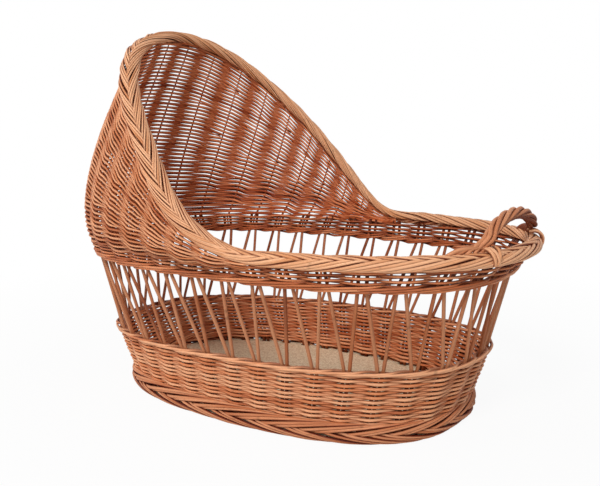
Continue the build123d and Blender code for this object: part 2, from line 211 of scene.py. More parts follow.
def hoodPoint(angle, v):                # from the rim up a bulging line to the front edge, v from 0 to 1
    share = np.interp(angle, rimAngles, rimRuns) / rimRuns[-1]
    top = alongEdge(1 - joinShare - share * (1 - 2 * joinShare))
    foot = upWall(upperEdge, rimEdge, angle, -wallTop(angle)) + upwards * hood["clear"]
    chord = unit(top - foot)
    away = ovalOut(rimEdge, angle)
    away = unit(away - chord * dot(away, chord))
    part = v * (1 - hood["seat"] / np.linalg.norm(top - foot, axis=-1))
    most = hood["low"] / (hood["low"] + hood["high"])
    peak = most ** hood["low"] * (1 - most) ** hood["high"]
    swell = part ** hood["low"] * (1 - part) ** hood["high"] / peak
    swell = hood["bulge"] * np.sqrt(np.clip(np.sin(math.pi * share), 0, 1)) * swell
    return foot + (top - foot) * part[..., None] + away * swell[..., None]


def hoodOut(angle, v):                  # square to the hood: across the way round it and the way up it
    turn, rise = 1e-3, 0.01
    around = hoodPoint(angle + turn, v) - hoodPoint(angle - turn, v)
    up = hoodPoint(angle, np.minimum(v + rise, 1)) - hoodPoint(angle, np.maximum(v - rise, 0))
    return unit(np.cross(around, up))


def hoodSpan(angle):                    # from the foot of the hood straight to its edge
    return hoodPoint(angle, np.ones_like(angle)) - hoodPoint(angle, np.zeros_like(angle))


print("walls worked out")


# ---- Rods made into meshes ----
bothFlanks = 1.6                        # how soon painted shade darkens a woven rod towards its two flanks


def newObject(name, data):
    made = bpy.data.objects.new(name, data)
    bpy.context.scene.collection.objects.link(made)
    return made


def newBundle():
    bundle = {key: [] for key in ("verts", "loops", "sizes", "uv", "tone", "inside", "deep", "smooth")}
    bundle["count"] = 0
    return bundle


def addRod(bundle, path, radius, facing, tone, sides=6, inner=None, flat=1.0, layer=None, crease=0.0):
    # a circle square to the path, carried along it and pressed flat or raised along facing
    # inner is the way out of the wall; layer runs from -1 inside the wall to 1 outside it
    # what lies under other rods is deep, which is painted shade, and crease adds painted shade on a rod's
    # flanks
    count = len(path)
    radius = np.broadcast_to(np.asarray(radius, float), (count,))
    way = unit(np.gradient(path, axis=0))
    facing = np.broadcast_to(facing, path.shape)
    across = unit(facing - way * dot(facing, way))
    beside = np.cross(way, across)
    turn = 2 * math.pi * np.arange(sides) / sides
    ring = across[:, None] * (flat * np.cos(turn))[None, :, None]
    ring = ring + beside[:, None] * np.sin(turn)[None, :, None]
    verts = (path[:, None] + ring * radius[:, None, None]).reshape(-1, 3)
    i, j = np.meshgrid(np.arange(count - 1), np.arange(sides), indexing="ij")
    after = (j + 1) % sides
    quads = np.stack([i * sides + j, i * sides + after, (i + 1) * sides + after, (i + 1) * sides + j], -1)
    along = runOf(path) / 1000
    low, high = along[i], along[i + 1]
    u = np.stack([low, low, high, high], -1)
    v = np.stack([j, j + 1, j + 1, j], -1) / sides
    first = bundle["count"]
    ends = np.arange(sides)
    caps = np.stack([ends[::-1], ends + (count - 1) * sides])
    capAlong = np.repeat([[along[0]], [along[-1]]], sides, 1)
    bundle["verts"].append(verts)
    bundle["loops"] += [quads.ravel() + first, caps.ravel() + first]
    bundle["sizes"] += [np.full(quads.size // 4, 4), np.full(2, sides)]
    bundle["smooth"] += [np.ones(quads.size // 4, bool), np.zeros(2, bool)]
    bundle["uv"].append(np.stack([u, v], -1).reshape(-1, 2))
    bundle["uv"].append(np.stack([capAlong, np.full_like(capAlong, 0.5)], -1).reshape(-1, 2))
    bundle["tone"].append(np.repeat(np.broadcast_to(np.asarray(tone, float), (count,)), sides))
    inside = deep = np.zeros((count, sides))
    if inner is not None:
        inside = 0.5 - 0.5 * dot(ring, unit(np.broadcast_to(inner, path.shape))[:, None])[..., 0]
    if layer is not None:
        layer = np.broadcast_to(np.asarray(layer, float), (count,))[:, None]
        deep = 0.5 + 0.5 * layer * (2 * inside - 1)
    # painted shade on the flanks of a rod in a layer, and on the side turned away from facing for any other
    # rod
    outer = dot(ring, unit(facing)[:, None])[..., 0]
    flank = 1 - outer if layer is None else bothFlanks * (1 - np.abs(outer))
    deep = 1 - (1 - deep) * (1 - crease * np.clip(flank, 0, 1))
    bundle["inside"].append(inside.ravel())
    bundle["deep"].append(deep.ravel())
    bundle["count"] += len(verts)


def makePiece(name, bundle, material, nodes):
    mesh = bpy.data.meshes.new(name)
    verts = np.concatenate(bundle["verts"]) / 1000
    loops, sizes = np.concatenate(bundle["loops"]), np.concatenate(bundle["sizes"])
    mesh.vertices.add(len(verts))
    mesh.vertices.foreach_set("co", verts.ravel())
    mesh.loops.add(len(loops))
    mesh.loops.foreach_set("vertex_index", loops.astype(np.int32))
    mesh.polygons.add(len(sizes))
    starts = np.concatenate([[0], np.cumsum(sizes)[:-1]])
    mesh.polygons.foreach_set("loop_start", starts.astype(np.int32))
    mesh.update(calc_edges=True)
    mesh.polygons.foreach_set("use_smooth", np.concatenate(bundle["smooth"]))
    mesh.uv_layers.new(name="alongRod").data.foreach_set("uv", np.concatenate(bundle["uv"]).ravel())
    for key in ("tone", "inside", "deep"):
        mesh.attributes.new(key, "FLOAT", "POINT").data.foreach_set("value", np.concatenate(bundle[key]))
    mesh.materials.append(material)
    piece = newObject(name, mesh)
    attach(piece, "root")
    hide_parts(*nodes)
    print(name, len(verts), "points,", int((sizes - 2).sum()), "triangles")
    return piece


# ---- Materials ----
def linear(hexColour):                  # sRGB hex to linear RGBA
    channels = [int(hexColour[i:i + 2], 16) / 255 for i in (1, 3, 5)]
    return [c / 12.92 if c <= 0.04045 else ((c + 0.055) / 1.055) ** 2.4 for c in channels] + [1.0]


def addNode(tree, kind, values=(), links=(), **settings):
    # one node: settings are its properties, values its sockets, links (socket, from node, from socket)
    node = tree.nodes.new(kind)
    for key, value in settings.items():
        setattr(node, key, value)
    for socket, value in dict(values).items():
        node.inputs[socket].default_value = value
    for socket, source, output in links:
        tree.links.new(source.outputs[output], node.inputs[socket])
    return node


def times(tree, source, output, factor):
    return addNode(tree, "ShaderNodeMath", {1: factor}, [(0, source, output)], operation="MULTIPLY")


def mapped(tree, source, output, *limits):  # from between the first two limits to between the last two
    return addNode(tree, "ShaderNodeMapRange", dict(enumerate(limits, 1)), [(0, source, output)])


def newMaterial(name):
    material = bpy.data.materials.new(name)
    material.use_nodes = True
    material.node_tree.nodes.clear()
    return material, material.node_tree


# Marks of a rod, in waves to a metre along it or in waves round it: streaks 25 mm long and 1.5 mm across,
# coarser than real ones so that they show; slow changes of colour 125 mm long; bud scars 45 mm apart or more.
# The last entry is the dark red-brown of painted shade.
rodMarks = {"streaks": 40.0, "round": 9.0, "apart": 53.0, "slow": 8.0, "buds": 0.55, "shadeColour": "#7c3c18"}
# under is how strongly painted shade darkens a rod where it is deep
usualLook = dict(innerShare=0.0, streak=0.8, scar=0.25, under=0.95, rough=0.5, gloss=0.3)


def willow(name, **look):
    # peeled buff willow: boiled in its bark, so tan to red-brown by the rod, smooth and faintly glossy,
    # with fine streaks along it and a dark scar where each bud sat
    look = {**usualLook, **look}
    material, tree = newMaterial(name)
    tone, inside, deep = [addNode(tree, "ShaderNodeAttribute", attribute_name=key)
                          for key in ("tone", "inside", "deep")]
    place = addNode(tree, "ShaderNodeUVMap", uv_map="alongRod")
    split = addNode(tree, "ShaderNodeSeparateXYZ", links=[("Vector", place, "UV")])
    far = times(tree, split, "X", rodMarks["streaks"])
    around = times(tree, split, "Y", rodMarks["round"])
    apart = times(tree, tone, "Fac", rodMarks["apart"])
    grainPlace = addNode(tree, "ShaderNodeCombineXYZ",
                         links=[("X", far, 0), ("Y", around, 0), ("Z", apart, 0)])
    grain = addNode(tree, "ShaderNodeTexNoise", {"Scale": 1.0, "Detail": 3.0, "Roughness": 0.6},
                    [("Vector", grainPlace, 0)])
    slowFar = times(tree, split, "X", rodMarks["slow"])
    slowPlace = addNode(tree, "ShaderNodeCombineXYZ", links=[("X", slowFar, 0), ("Y", apart, 0)])
    slow = addNode(tree, "ShaderNodeTexNoise", {"Scale": 1.0, "Detail": 1.0}, [("Vector", slowPlace, 0)])
    budPlace = addNode(tree, "ShaderNodeCombineXYZ", links=[("X", far, 0), ("Y", apart, 0)])
    bud = addNode(tree, "ShaderNodeTexVoronoi", {"Scale": rodMarks["buds"]}, [("Vector", budPlace, 0)],
                  voronoi_dimensions="2D")
    scar = mapped(tree, bud, "Distance", 0.02, 0.09, look["scar"], 0.0)
    # from the rod's own tone and the slow change to its colour; faces turned into the basket get painted
    # shade, a redder and darker colour multiplied in
    mixTone = addNode(tree, "ShaderNodeMath", {1: 0.75, 2: 0.0}, [(0, tone, "Fac"), (2, slow, "Fac")],
                      operation="MULTIPLY_ADD")
    toned = mapped(tree, mixTone, 0, 0.35, 1.0)
    ramp = addNode(tree, "ShaderNodeValToRGB", links=[("Fac", toned, 0)])
    ramp.color_ramp.elements[0].color = linear(look["dark"])
    ramp.color_ramp.elements[1].color = linear(look["light"])
    middle = ramp.color_ramp.elements.new(0.5)
    middle.color = linear(look["middle"])
    inner = times(tree, inside, "Fac", look["innerShare"])
    insideShade = addNode(tree, "ShaderNodeMix", {"B": linear(look["inner"])},
                     [("Factor", inner, 0), ("A", ramp, "Color")], data_type="RGBA", blend_type="MULTIPLY")
    # painted shade where the rods cross and lie under one another, and on their flanks: the deep attribute
    # multiplies in a dark red-brown
    under = mapped(tree, deep, "Fac", 0.42, 1.0, 0.0, look["under"])
    shaded = addNode(tree, "ShaderNodeMix", {"B": linear(rodMarks["shadeColour"])},
                     [("Factor", under, 0), ("A", insideShade, "Result")], data_type="RGBA", blend_type="MULTIPLY")
    streak = mapped(tree, grain, "Fac", 0.3, 0.7, look["streak"], 1.06)
    marked = addNode(tree, "ShaderNodeMath", links=[(0, streak, 0), (1, scar, 0)], operation="SUBTRACT")
    coloured = addNode(tree, "ShaderNodeVectorMath", links=[(0, shaded, "Result"), ("Scale", marked, 0)],
                       operation="SCALE")
    rough = mapped(tree, grain, "Fac", 0.0, 1.0, look["rough"] - 0.08, look["rough"] + 0.1)
    bump = addNode(tree, "ShaderNodeBump", {"Strength": 0.35, "Distance": 0.0003}, [("Height", grain, "Fac")])
    shader = addNode(tree, "ShaderNodeBsdfPrincipled", {"IOR": 1.5, "Specular IOR Level": look["gloss"]},
                     [("Base Color", coloured, 0), ("Roughness", rough, 0), ("Normal", bump, 0)])
    addNode(tree, "ShaderNodeOutputMaterial", links=[("Surface", shader, 0)])
    return material


# innerShare is how strongly the painted shade of the basket's inside is multiplied in
borderWillow = willow("peeledWillowBorder", dark="#c26e3c", middle="#e49a66", light="#fcbe90",
                      inner="#c88a60", streak=0.82, rough=0.48)
weaveWillow = willow("willowWeave", dark="#bc683c", middle="#e28e5c", light="#f6b486",
                     inner="#f8a060", innerShare=0.25)
darkWillow = willow("willowDark", dark="#a05630", middle="#c8784c", light="#e49c70",
                    inner="#f0a070", streak=0.78, under=1.0, rough=0.55, gloss=0.25)
hoodWillow = willow("willowHoodWeave", dark="#b46030", middle="#dc8c58", light="#f4b080",
                    inner="#f8a468", innerShare=0.65)
stakeWillow = willow("willowStake", dark="#8a4826", middle="#b0683e", light="#c6865e",
                     inner="#e8a078", innerShare=0.4, streak=0.82, scar=0.3, gloss=0.35)

boardLook = {"chips": 420.0, "dust": 160.0, "dark": "#dcc09a", "light": "#feeccc", "ramp": (0.02, 0.5)}


def chipboard():
    # pressed wood chips, raw: pale beige-brown flecks 1 to 3 mm across, matt
    material, tree = newMaterial("chipboard")
    place = addNode(tree, "ShaderNodeTexCoord")
    chips = addNode(tree, "ShaderNodeTexVoronoi", {"Scale": boardLook["chips"]},
                    [("Vector", place, "Object")])
    grey = addNode(tree, "ShaderNodeSeparateColor", links=[("Color", chips, "Color")])
    dust = addNode(tree, "ShaderNodeTexNoise", {"Scale": boardLook["dust"], "Detail": 4.0},
                   [("Vector", place, "Object")])
    mixed = addNode(tree, "ShaderNodeMath", links=[(0, grey, "Red"), (1, dust, "Fac")], operation="MULTIPLY")
    ramp = addNode(tree, "ShaderNodeValToRGB", links=[("Fac", mixed, 0)])
    for element, colour, position in zip(ramp.color_ramp.elements, ("dark", "light"), boardLook["ramp"]):
        element.color = linear(boardLook[colour])
        element.position = position
    bump = addNode(tree, "ShaderNodeBump", {"Strength": 0.3, "Distance": 0.0003}, [("Height", mixed, 0)])
    shader = addNode(tree, "ShaderNodeBsdfPrincipled", {"IOR": 1.45, "Roughness": 0.8},
                     [("Base Color", ramp, "Color"), ("Normal", bump, 0)])
    addNode(tree, "ShaderNodeOutputMaterial", links=[("Surface", shader, 0)])
    return material


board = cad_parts["base_board"]
board.data.materials.clear()
board.data.materials.append(chipboard())
print("materials made")

# ---- Stakes: two to a pair on the board, parting through the open band to meet their neighbours above ----
stakes = {
    "low": 3.25, "high": 2.85, "thinner": (0.9, 1.0), "into": 4.8, "intoBorder": 7.0, "bend": 9.0,
    "wale": 3.75,                           # from a band's edge to where a stake bends
    "shadeAt": (0.17, 0.3, 0.93),           # shares of the stretch in the lower band where its painted shade changes
    "shades": (0.5, 0.5, 1.0, 1.0), "topAt": 0.1, "topShade": 0.8,
    "longSide": 0.75, "sides": 8,
}
halfPair = (basket["stakeWide"] + basket["pairGap"]) / 2
halfTop = (basket["stakeWide"] + basket["topGap"]) / 2


def bentLine(points, bend, steps=5):    # straight lengths with a curve round each corner
    line = [points[:1]]
    share = np.linspace(0, 1, steps)[:, None]
    for before, corner, after in zip(points, points[1:], points[2:]):
        start, end = corner + unit(before - corner) * bend, corner + unit(after - corner) * bend
        line.append((1 - share) ** 2 * start + 2 * share * (1 - share) * corner + share ** 2 * end)
    return np.concatenate(line + [points[-1:]])


stakeBundles = {key: newBundle() for key in ("near", "far", "head", "foot")}
for k in range(basket["pairs"]):
    low = angleOf(k) % (2 * math.pi)
    for side, high in ((1, highAngle(k)), (-1, highAngle(k - 1))):
        lowShift = sideways(ovalOut(lowerEdge, low)) * side * halfPair
        highShift = sideways(ovalOut(upperEdge, high)) * -side * halfTop
        points = np.array([
            upWall(boardRing, lowerEdge, low, 0) + lowShift,
            upWall(boardRing, lowerEdge, low, -stakes["wale"]) + lowShift,
            upWall(upperEdge, rimEdge, high, stakes["wale"]) + highShift,
            upWall(upperEdge, rimEdge, high, -wallTop(high)) + highShift,
        ])
        points[0] -= unit(points[1] - points[0]) * stakes["into"]
        points[3] += unit(points[3] - points[2]) * stakes["intoBorder"]
        line = bentLine(points, stakes["bend"])
        extra = [line[0] + (line[1] - line[0]) * share for share in stakes["shadeAt"]]
        extra.append(line[-2] + (line[-1] - line[-2]) * stakes["topAt"])
        line = np.insert(line, [1, 1, 1, len(line) - 1], extra, 0)
        # painted shade: half at the foot by the board, full where the stake is hidden in the lower band, and
        # on the top end in the border; it lowers the tone and sets the deep value
        stakeShade = np.zeros(len(line))
        stakeShade[:4], stakeShade[-2:] = stakes["shades"], stakes["topShade"]
        outwards = ovalOut(lowerEdge, low)
        wide = np.linspace(stakes["low"], stakes["high"], len(line)) * chance.uniform(*stakes["thinner"])
        if abs(points[0, 0]) > boardRing["a"] * stakes["longSide"]:
            group = "foot" if points[0, 0] > 0 else "head"
        else:
            group = "far" if points[0, 1] > 0 else "near"
        tone = chance.uniform()
        addRod(stakeBundles[group], line, wide, outwards, tone - stakeShade, stakes["sides"], outwards)
        stakeBundles[group]["deep"][-1] = np.repeat(stakeShade, stakes["sides"])
for key, bundle in stakeBundles.items():
    makePiece("stakes" + key.capitalize(), bundle, stakeWillow, ["stakes_" + key])

# ---- Ribs of the hood, one between the two stakes of each pair ----
ribs = {"butt": 1.4, "foot": 2.0, "tip": 1.2, "full": 6, "above": 6.0, "shortest": 30.0, "steps": 20,
        "sides": 6, "shade": 0.85}
ribBundle = newBundle()
ribShare = np.linspace(0, 1, ribs["steps"])
ribRadius = np.interp(np.arange(ribs["steps"] + 1), (0, 1, ribs["full"], ribs["steps"]),
                      (ribs["butt"], ribs["foot"], ribs["foot"], ribs["tip"]))
for k in range(basket["pairs"]):
    angle = highAngle(k) % (2 * math.pi)
    ends = hoodPoint(np.full(2, angle), np.array([0.0, 1.0]))
    if not rimAngles[0] < angle < rimAngles[-1] or ends[1, 2] - ends[0, 2] < ribs["shortest"]:
        continue
    foot = upWall(upperEdge, rimEdge, angle, stakes["wale"] + ribs["above"])[None]
    line = np.concatenate([foot, hoodPoint(np.full(ribs["steps"], angle), ribShare)])
    outwards = ovalOut(rimEdge, angle)
    addRod(ribBundle, line, ribRadius, outwards, chance.uniform(), ribs["sides"], outwards)
    # painted shade along the whole rib, which lies in shade behind the rods
    ribBundle["deep"][-1] += ribs["shade"]
makePiece("stakesHood", ribBundle, hoodWillow, ["stakes_hood"])

# ---- Woven bands: each rod passes outside one pair and inside the next, rows by turns ----
weave = {
    "perPair": 10, "sides": 6, "crease": 0.75, "thick": (0.94, 1.08), "reachShare": (0.86, 1.06),
    "butt": 1.06, "tip": 0.92,              # a rod's thickness at its two ends
    # in twos of pairs: how far apart rows may start, how long their rods are, and how long the last may be
    "starts": 5, "rodTwos": (5, 9), "lastTwos": 9,
    "lower": dict(rows=25, low=18.0, high=8.0, radius=2.08, flat=1.3, reach=4.6, power=2.0, swell=0.2,
                  wander=0.55, tones=(0.0, 1.0)),
    "upper": dict(rows=7, low=8.5, high=2.5, radius=2.0, flat=0.95, reach=6.2, power=1.1, swell=0.0,
                  wander=0.6, tones=(-0.3, 0.4)),
}


def inAndOut(pair, reach, power):       # from one side of the stakes to the other, furthest where it passes
    return reach * signedPower(np.cos(math.pi * pair), power)


def strayed(count, size):               # a slow random wander
    at = np.linspace(0, 1, count)
    waves = sum(np.sin(2 * math.pi * (k * at + chance.uniform())) / k for k in (2, 3, 5))
    return waves * size


def rowRods(bundle, wallPoint, place, sign, band):
    # a row round the whole wall, of rods that end behind a stake
    cuts = [2 * chance.integers(0, weave["starts"])]
    while cuts[-1] - cuts[0] < basket["pairs"] - 2 * weave["lastTwos"]:
        cuts.append(cuts[-1] + 2 * chance.integers(*weave["rodTwos"]))
    cuts.append(cuts[0] + basket["pairs"])
    inset = 0 if sign < 0 else 1        # where this row lies inside
    for start, end in zip(cuts, cuts[1:]):
        count = int((end - start) * weave["perPair"]) + 1
        pair = np.linspace(start, end, count) + inset
        out = sign * inAndOut(pair, band["reach"] * chance.uniform(*weave["reachShare"]), band["power"])
        angle = place(pair)
        path = wallPoint(angle, out, strayed(count, band["wander"]))
        layer = out / band["reach"]
        taper = chance.uniform(*weave["thick"]) * np.linspace(weave["butt"], weave["tip"], count)
        radius = band["radius"] * taper * (1 + band["swell"] * np.abs(layer))
        facing = ovalOut(lowerEdge, angle)
        addRod(bundle, path, radius, facing, chance.uniform(*band["tones"]), weave["sides"], facing,
               band["flat"], layer, weave["crease"])


def onLowerWall(share, band):           # a row's place on the lower wall, share of the way from low to high
    def point(angle, out, stray):
        wallHeight = ovalPoint(lowerEdge, angle)[..., 2]
        level = band["low"] + (wallHeight - band["high"] - band["low"]) * share
        return upWall(boardRing, lowerEdge, angle, level - boardRing["z"] + stray, out)
    return point


def onUpperWall(share, band):
    def point(angle, out, stray):
        base = ovalPoint(upperEdge, angle)[..., 2]
        low = base + band["low"]
        high = ovalPoint(rimEdge, angle)[..., 2] - wallTop(angle) + band["high"]
        return upWall(upperEdge, rimEdge, angle, low + (high - low) * share - base + stray, out)
    return point


def bothSides(node):
    return [node + "_outer", node + "_inner"]


def wovenBand(name, band, onWall, place, first, node):
    bundle = newBundle()
    for row in range(band["rows"]):
        wallPoint = onWall((row + 0.5) / band["rows"], band)
        rowRods(bundle, wallPoint, place, -first if row % 2 else first, band)
    makePiece(name, bundle, weaveWillow, bothSides(node))


wovenBand("lowerWeave", weave["lower"], onLowerWall, angleOf, -1, "lower_weave")
wovenBand("upperWeave", weave["upper"], onUpperWall, highAngle, 1, "upper_weave")

# ---- Wales: three rods at once, each outside two pairs and inside the third, laid over one another ----
wales = {
    "perPair": 9, "sides": 7, "inside": 5.8, "sharp": 2.2, "crease": 0.7, "wander": 0.3,
    "rodPairs": 12, "starts": 4, "butt": 1.12, "tip": 0.9, "turn": 0.17,
    "lowerTop": dict(radius=2.4, lift=2.6, reach=7.4, tones=(0.2, 1.0), heights=(-4.6,)),
    "upperBottom": dict(radius=2.1, lift=3.8, reach=7.6, tones=(-0.3, 0.5), heights=(3.4, 7.2)),
}


def waleRods(bundle, wallPoint, place, wale, first):
    # each rod lies inside at every third pair, and rises from low to high over the two that it passes outside
    stages, rises = (0, wales["turn"], 1 - wales["turn"], 1), (0, -1, 1, 0)
    for rod in range(3):
        cuts = np.arange(0, basket["pairs"] + 1, wales["rodPairs"]) + rod + first
        cuts = cuts + 3 * chance.integers(0, wales["starts"])
        for start, end in zip(cuts, cuts[1:]):
            count = int((end - start) * wales["perPair"]) + 1
            pair = np.linspace(start, end, count)
            turns = (pair - rod - first) / 3
            out = np.tanh(wales["sharp"] * (0.5 - np.cos(turns * 2 * math.pi)))
            out = np.where(out > 0, out * wale["reach"], out * wales["inside"])
            rise = np.interp((turns + 1e-9) % 1, stages, rises) * wale["lift"]
            angle = place(pair)
            path = wallPoint(angle, out, rise + strayed(count, wales["wander"]))
            facing = ovalOut(lowerEdge, angle)
            wide = wale["radius"] * np.linspace(wales["butt"], wales["tip"], count)
            layer = np.clip(out / wale["reach"], -1, 1)
            addRod(bundle, path, wide, facing, chance.uniform(*wale["tones"]), wales["sides"], facing, 1.0,
                   layer, wales["crease"])


def onLower(height):                    # from the lower wall's top edge
    def point(angle, out, rise):
        level = ovalPoint(lowerEdge, angle)[..., 2] - boardRing["z"] + height
        return upWall(boardRing, lowerEdge, angle, level + rise, out)
    return point


def onUpper(height):                    # from the upper wall's bottom edge
    def point(angle, out, rise):
        return upWall(upperEdge, rimEdge, angle, np.maximum(height + rise, 0.0), out)
    return point


def makeWale(name, wale, onWall, place, node):
    bundle = newBundle()
    for first, height in enumerate(wale["heights"]):
        waleRods(bundle, onWall(height), place, wale, first)
    makePiece(name, bundle, weaveWillow, bothSides(node))


makeWale("lowerTopWale", wales["lowerTop"], onLower, angleOf, "lower_top_wale")
makeWale("upperBottomWale", wales["upperBottom"], onUpper, highAngle, "upper_bottom_wale")

# ---- Hood weave: rows fan out of the join with the rim; short rows fill the tall back ----
hoodWeave = {
    "pitch": 4.0, "radius": 2.12, "reach": 3.8, "power": 1.4, "perPair": 12, "sides": 5, "wander": 0.35,
    "thick": (0.9, 1.08), "crease": 0.5,
    "raised": 0.3, "closer": 0.14,          # rows lie above their even places, and closer by the edge
    "fuller": 0.15, "gauge": (0.6, 1.4),    # thicker low down, and by the room that a row has
    "crowded": 0.4, "crowdedBelow": 150.0,  # thicker again where the hood is low
    "soft": 0.07, "early": 0.03,            # how gently a row starts, and how soon
    "least": 9.0,                           # how high the hood has to be for its weaving to start
    "shows": 0.04, "shortest": 3,           # a row's least share of its thickness, and its least pairs
    "columns": 2000, "rankBits": 8,
}
columnAngles = np.linspace(rimAngles[1], math.pi, hoodWeave["columns"])
firstAngle = columnAngles[np.argmax(hoodSpan(columnAngles)[:, 2] > hoodWeave["least"])]
firstPair, lastPair = highPair(firstAngle), highPair(2 * math.pi - firstAngle)
hoodPairs = np.linspace(firstPair, lastPair, int((lastPair - firstPair) * hoodWeave["perPair"]))
hoodAngles = highAngle(hoodPairs)
reach = np.linalg.norm(hoodSpan(hoodAngles), axis=-1)
rowPairs = int(reach.max() / hoodWeave["pitch"] / 2)
# rows start by twos as the hood rises: the first of them, then the one halfway, then the quarters and so on
bits = range(hoodWeave["rankBits"])
rank = np.array([sum(((j >> bit) & 1) / 2 ** (bit + 1) for bit in bits) for j in range(rowPairs)])
started = (reach[None] / reach.max() + hoodWeave["early"] - rank[:, None]) / hoodWeave["soft"] + 0.5
present = np.repeat(ease(started), 2, axis=0)
levels = (np.cumsum(present, 0) - present / 2) / present.sum(0)
spacing = reach / present.sum(0)
fullness = hoodWeave["radius"] * np.clip(spacing / hoodWeave["pitch"], *hoodWeave["gauge"])
crowding = 1 + hoodWeave["crowded"] * ease(1 - reach / hoodWeave["crowdedBelow"])
hoodBundles = [newBundle(), newBundle()]
for row in range(2 * rowPairs):
    shown = np.flatnonzero(present[row] > hoodWeave["shows"])
    if len(shown) < hoodWeave["shortest"] * hoodWeave["perPair"]:
        continue
    angle, pair, v = hoodAngles[shown], hoodPairs[shown], levels[row][shown]
    v = v * (1 + hoodWeave["raised"] * spacing[shown] / reach[shown])
    v = v + hoodWeave["closer"] * v * (1 - v)
    v = np.clip(v + strayed(len(shown), hoodWeave["wander"]) / reach[shown], 0.0, 1.0)
    away = hoodOut(angle, v)
    sign = 1 if row % 2 else -1
    out = sign * inAndOut(pair, hoodWeave["reach"], hoodWeave["power"])
    path = hoodPoint(angle, v) + away * out[:, None]
    wide = fullness[shown] * (1 + hoodWeave["fuller"] * (1 - v)) * np.sqrt(present[row][shown])
    wide = wide * crowding[shown] * chance.uniform(*hoodWeave["thick"])
    half = hoodBundles[0 if row < rowPairs else 1]
    addRod(half, path, wide, away, chance.uniform(), hoodWeave["sides"], away, 1.0,
           out / hoodWeave["reach"], hoodWeave["crease"])
makePiece("hoodWeaveLow", hoodBundles[0], hoodWillow, bothSides("hood_weave"))
makePiece("hoodWeaveHigh", hoodBundles[1], hoodWillow, bothSides("hood_weave"))

# ---- Plaited borders: rods of the rim run on into the thinner, tighter plait along the hood ----
plait = {
    "sides": 6, "steps": 22, "every": 3.0, "crease": 1.5, "uneven": 0.4, "thick": (0.9, 1.1),
    "butt": 1.04, "tip": 0.9, "coreTone": -0.5, "middleUp": 0.6,
    "from": -15.0, "to": 176.0,             # degrees round the plait, from the middle of its face to its back
    "ahead": 0.95,                          # rods start before the line does, by this share of a swing
    "rise": 0.45, "fall": 0.5,              # radians in which a rod comes up, and in which it dips again
    "outTurn": 0.2, "rimOut": 0.8, "rimLong": 0.33,     # how far the faces turn outwards
    "rimStart": 0.15,                       # how much of the hood's edge the rim's plait starts under
    "rimFade": (110.0, 160.0), "dropFade": (50.0, 150.0),       # the X where each begins, and over how much
    "hood": dict(apart=14.0, group=4, swing=150.0, wide=14.0, deep=8.2, radius=1.85, core=5.2, bulge=2.2,
                 dip=3.4, grow=0.22, least=0.36, taper=0.05, thin=0.7, loose=1.2, close=0.86),
    "rim": dict(apart=25.0, group=2, swing=156.0, wide=9.4, deep=7.8, radius=2.75, core=5.0, bulge=1.2,
                dip=3.5, grow=0.16, least=0.5, taper=0.12, thin=0.55, loose=3.0, close=0.8, drop=2.0),
    "foot": dict(apart=34.0, group=2, swing=250.0, wide=12.8, deep=5.0, radius=2.75, core=3.4, bulge=2.2,
                 dip=6.0, grow=0.0, least=1.0, taper=0.0, thin=1.0, loose=4.0, close=0.62, out=9.8,
                 height=16.4),
}
barely = 1e-6


def faceOf(points, onRim):              # the way that a plait's face looks, from the hood's to the rim's
    side = points * (0, 1, 0) + (points[:, :1] - hood["baseX"]) * (plait["outTurn"], 0, 0)
    fromMiddle = (points - (rimEdge["cx"], 0, 0)) * (plait["rimLong"], 1, 0)
    rimFace = unit(upwards + unit(fromMiddle) * plait["rimOut"])
    return unit(archFront + unit(side)) * (1 - onRim) + rimFace * onRim


def growing(nearEnd, least, length):    # from least at an end of the line to 1 at a share of its length
    return least + (1 - least) * ease(nearEnd / max(length, barely))


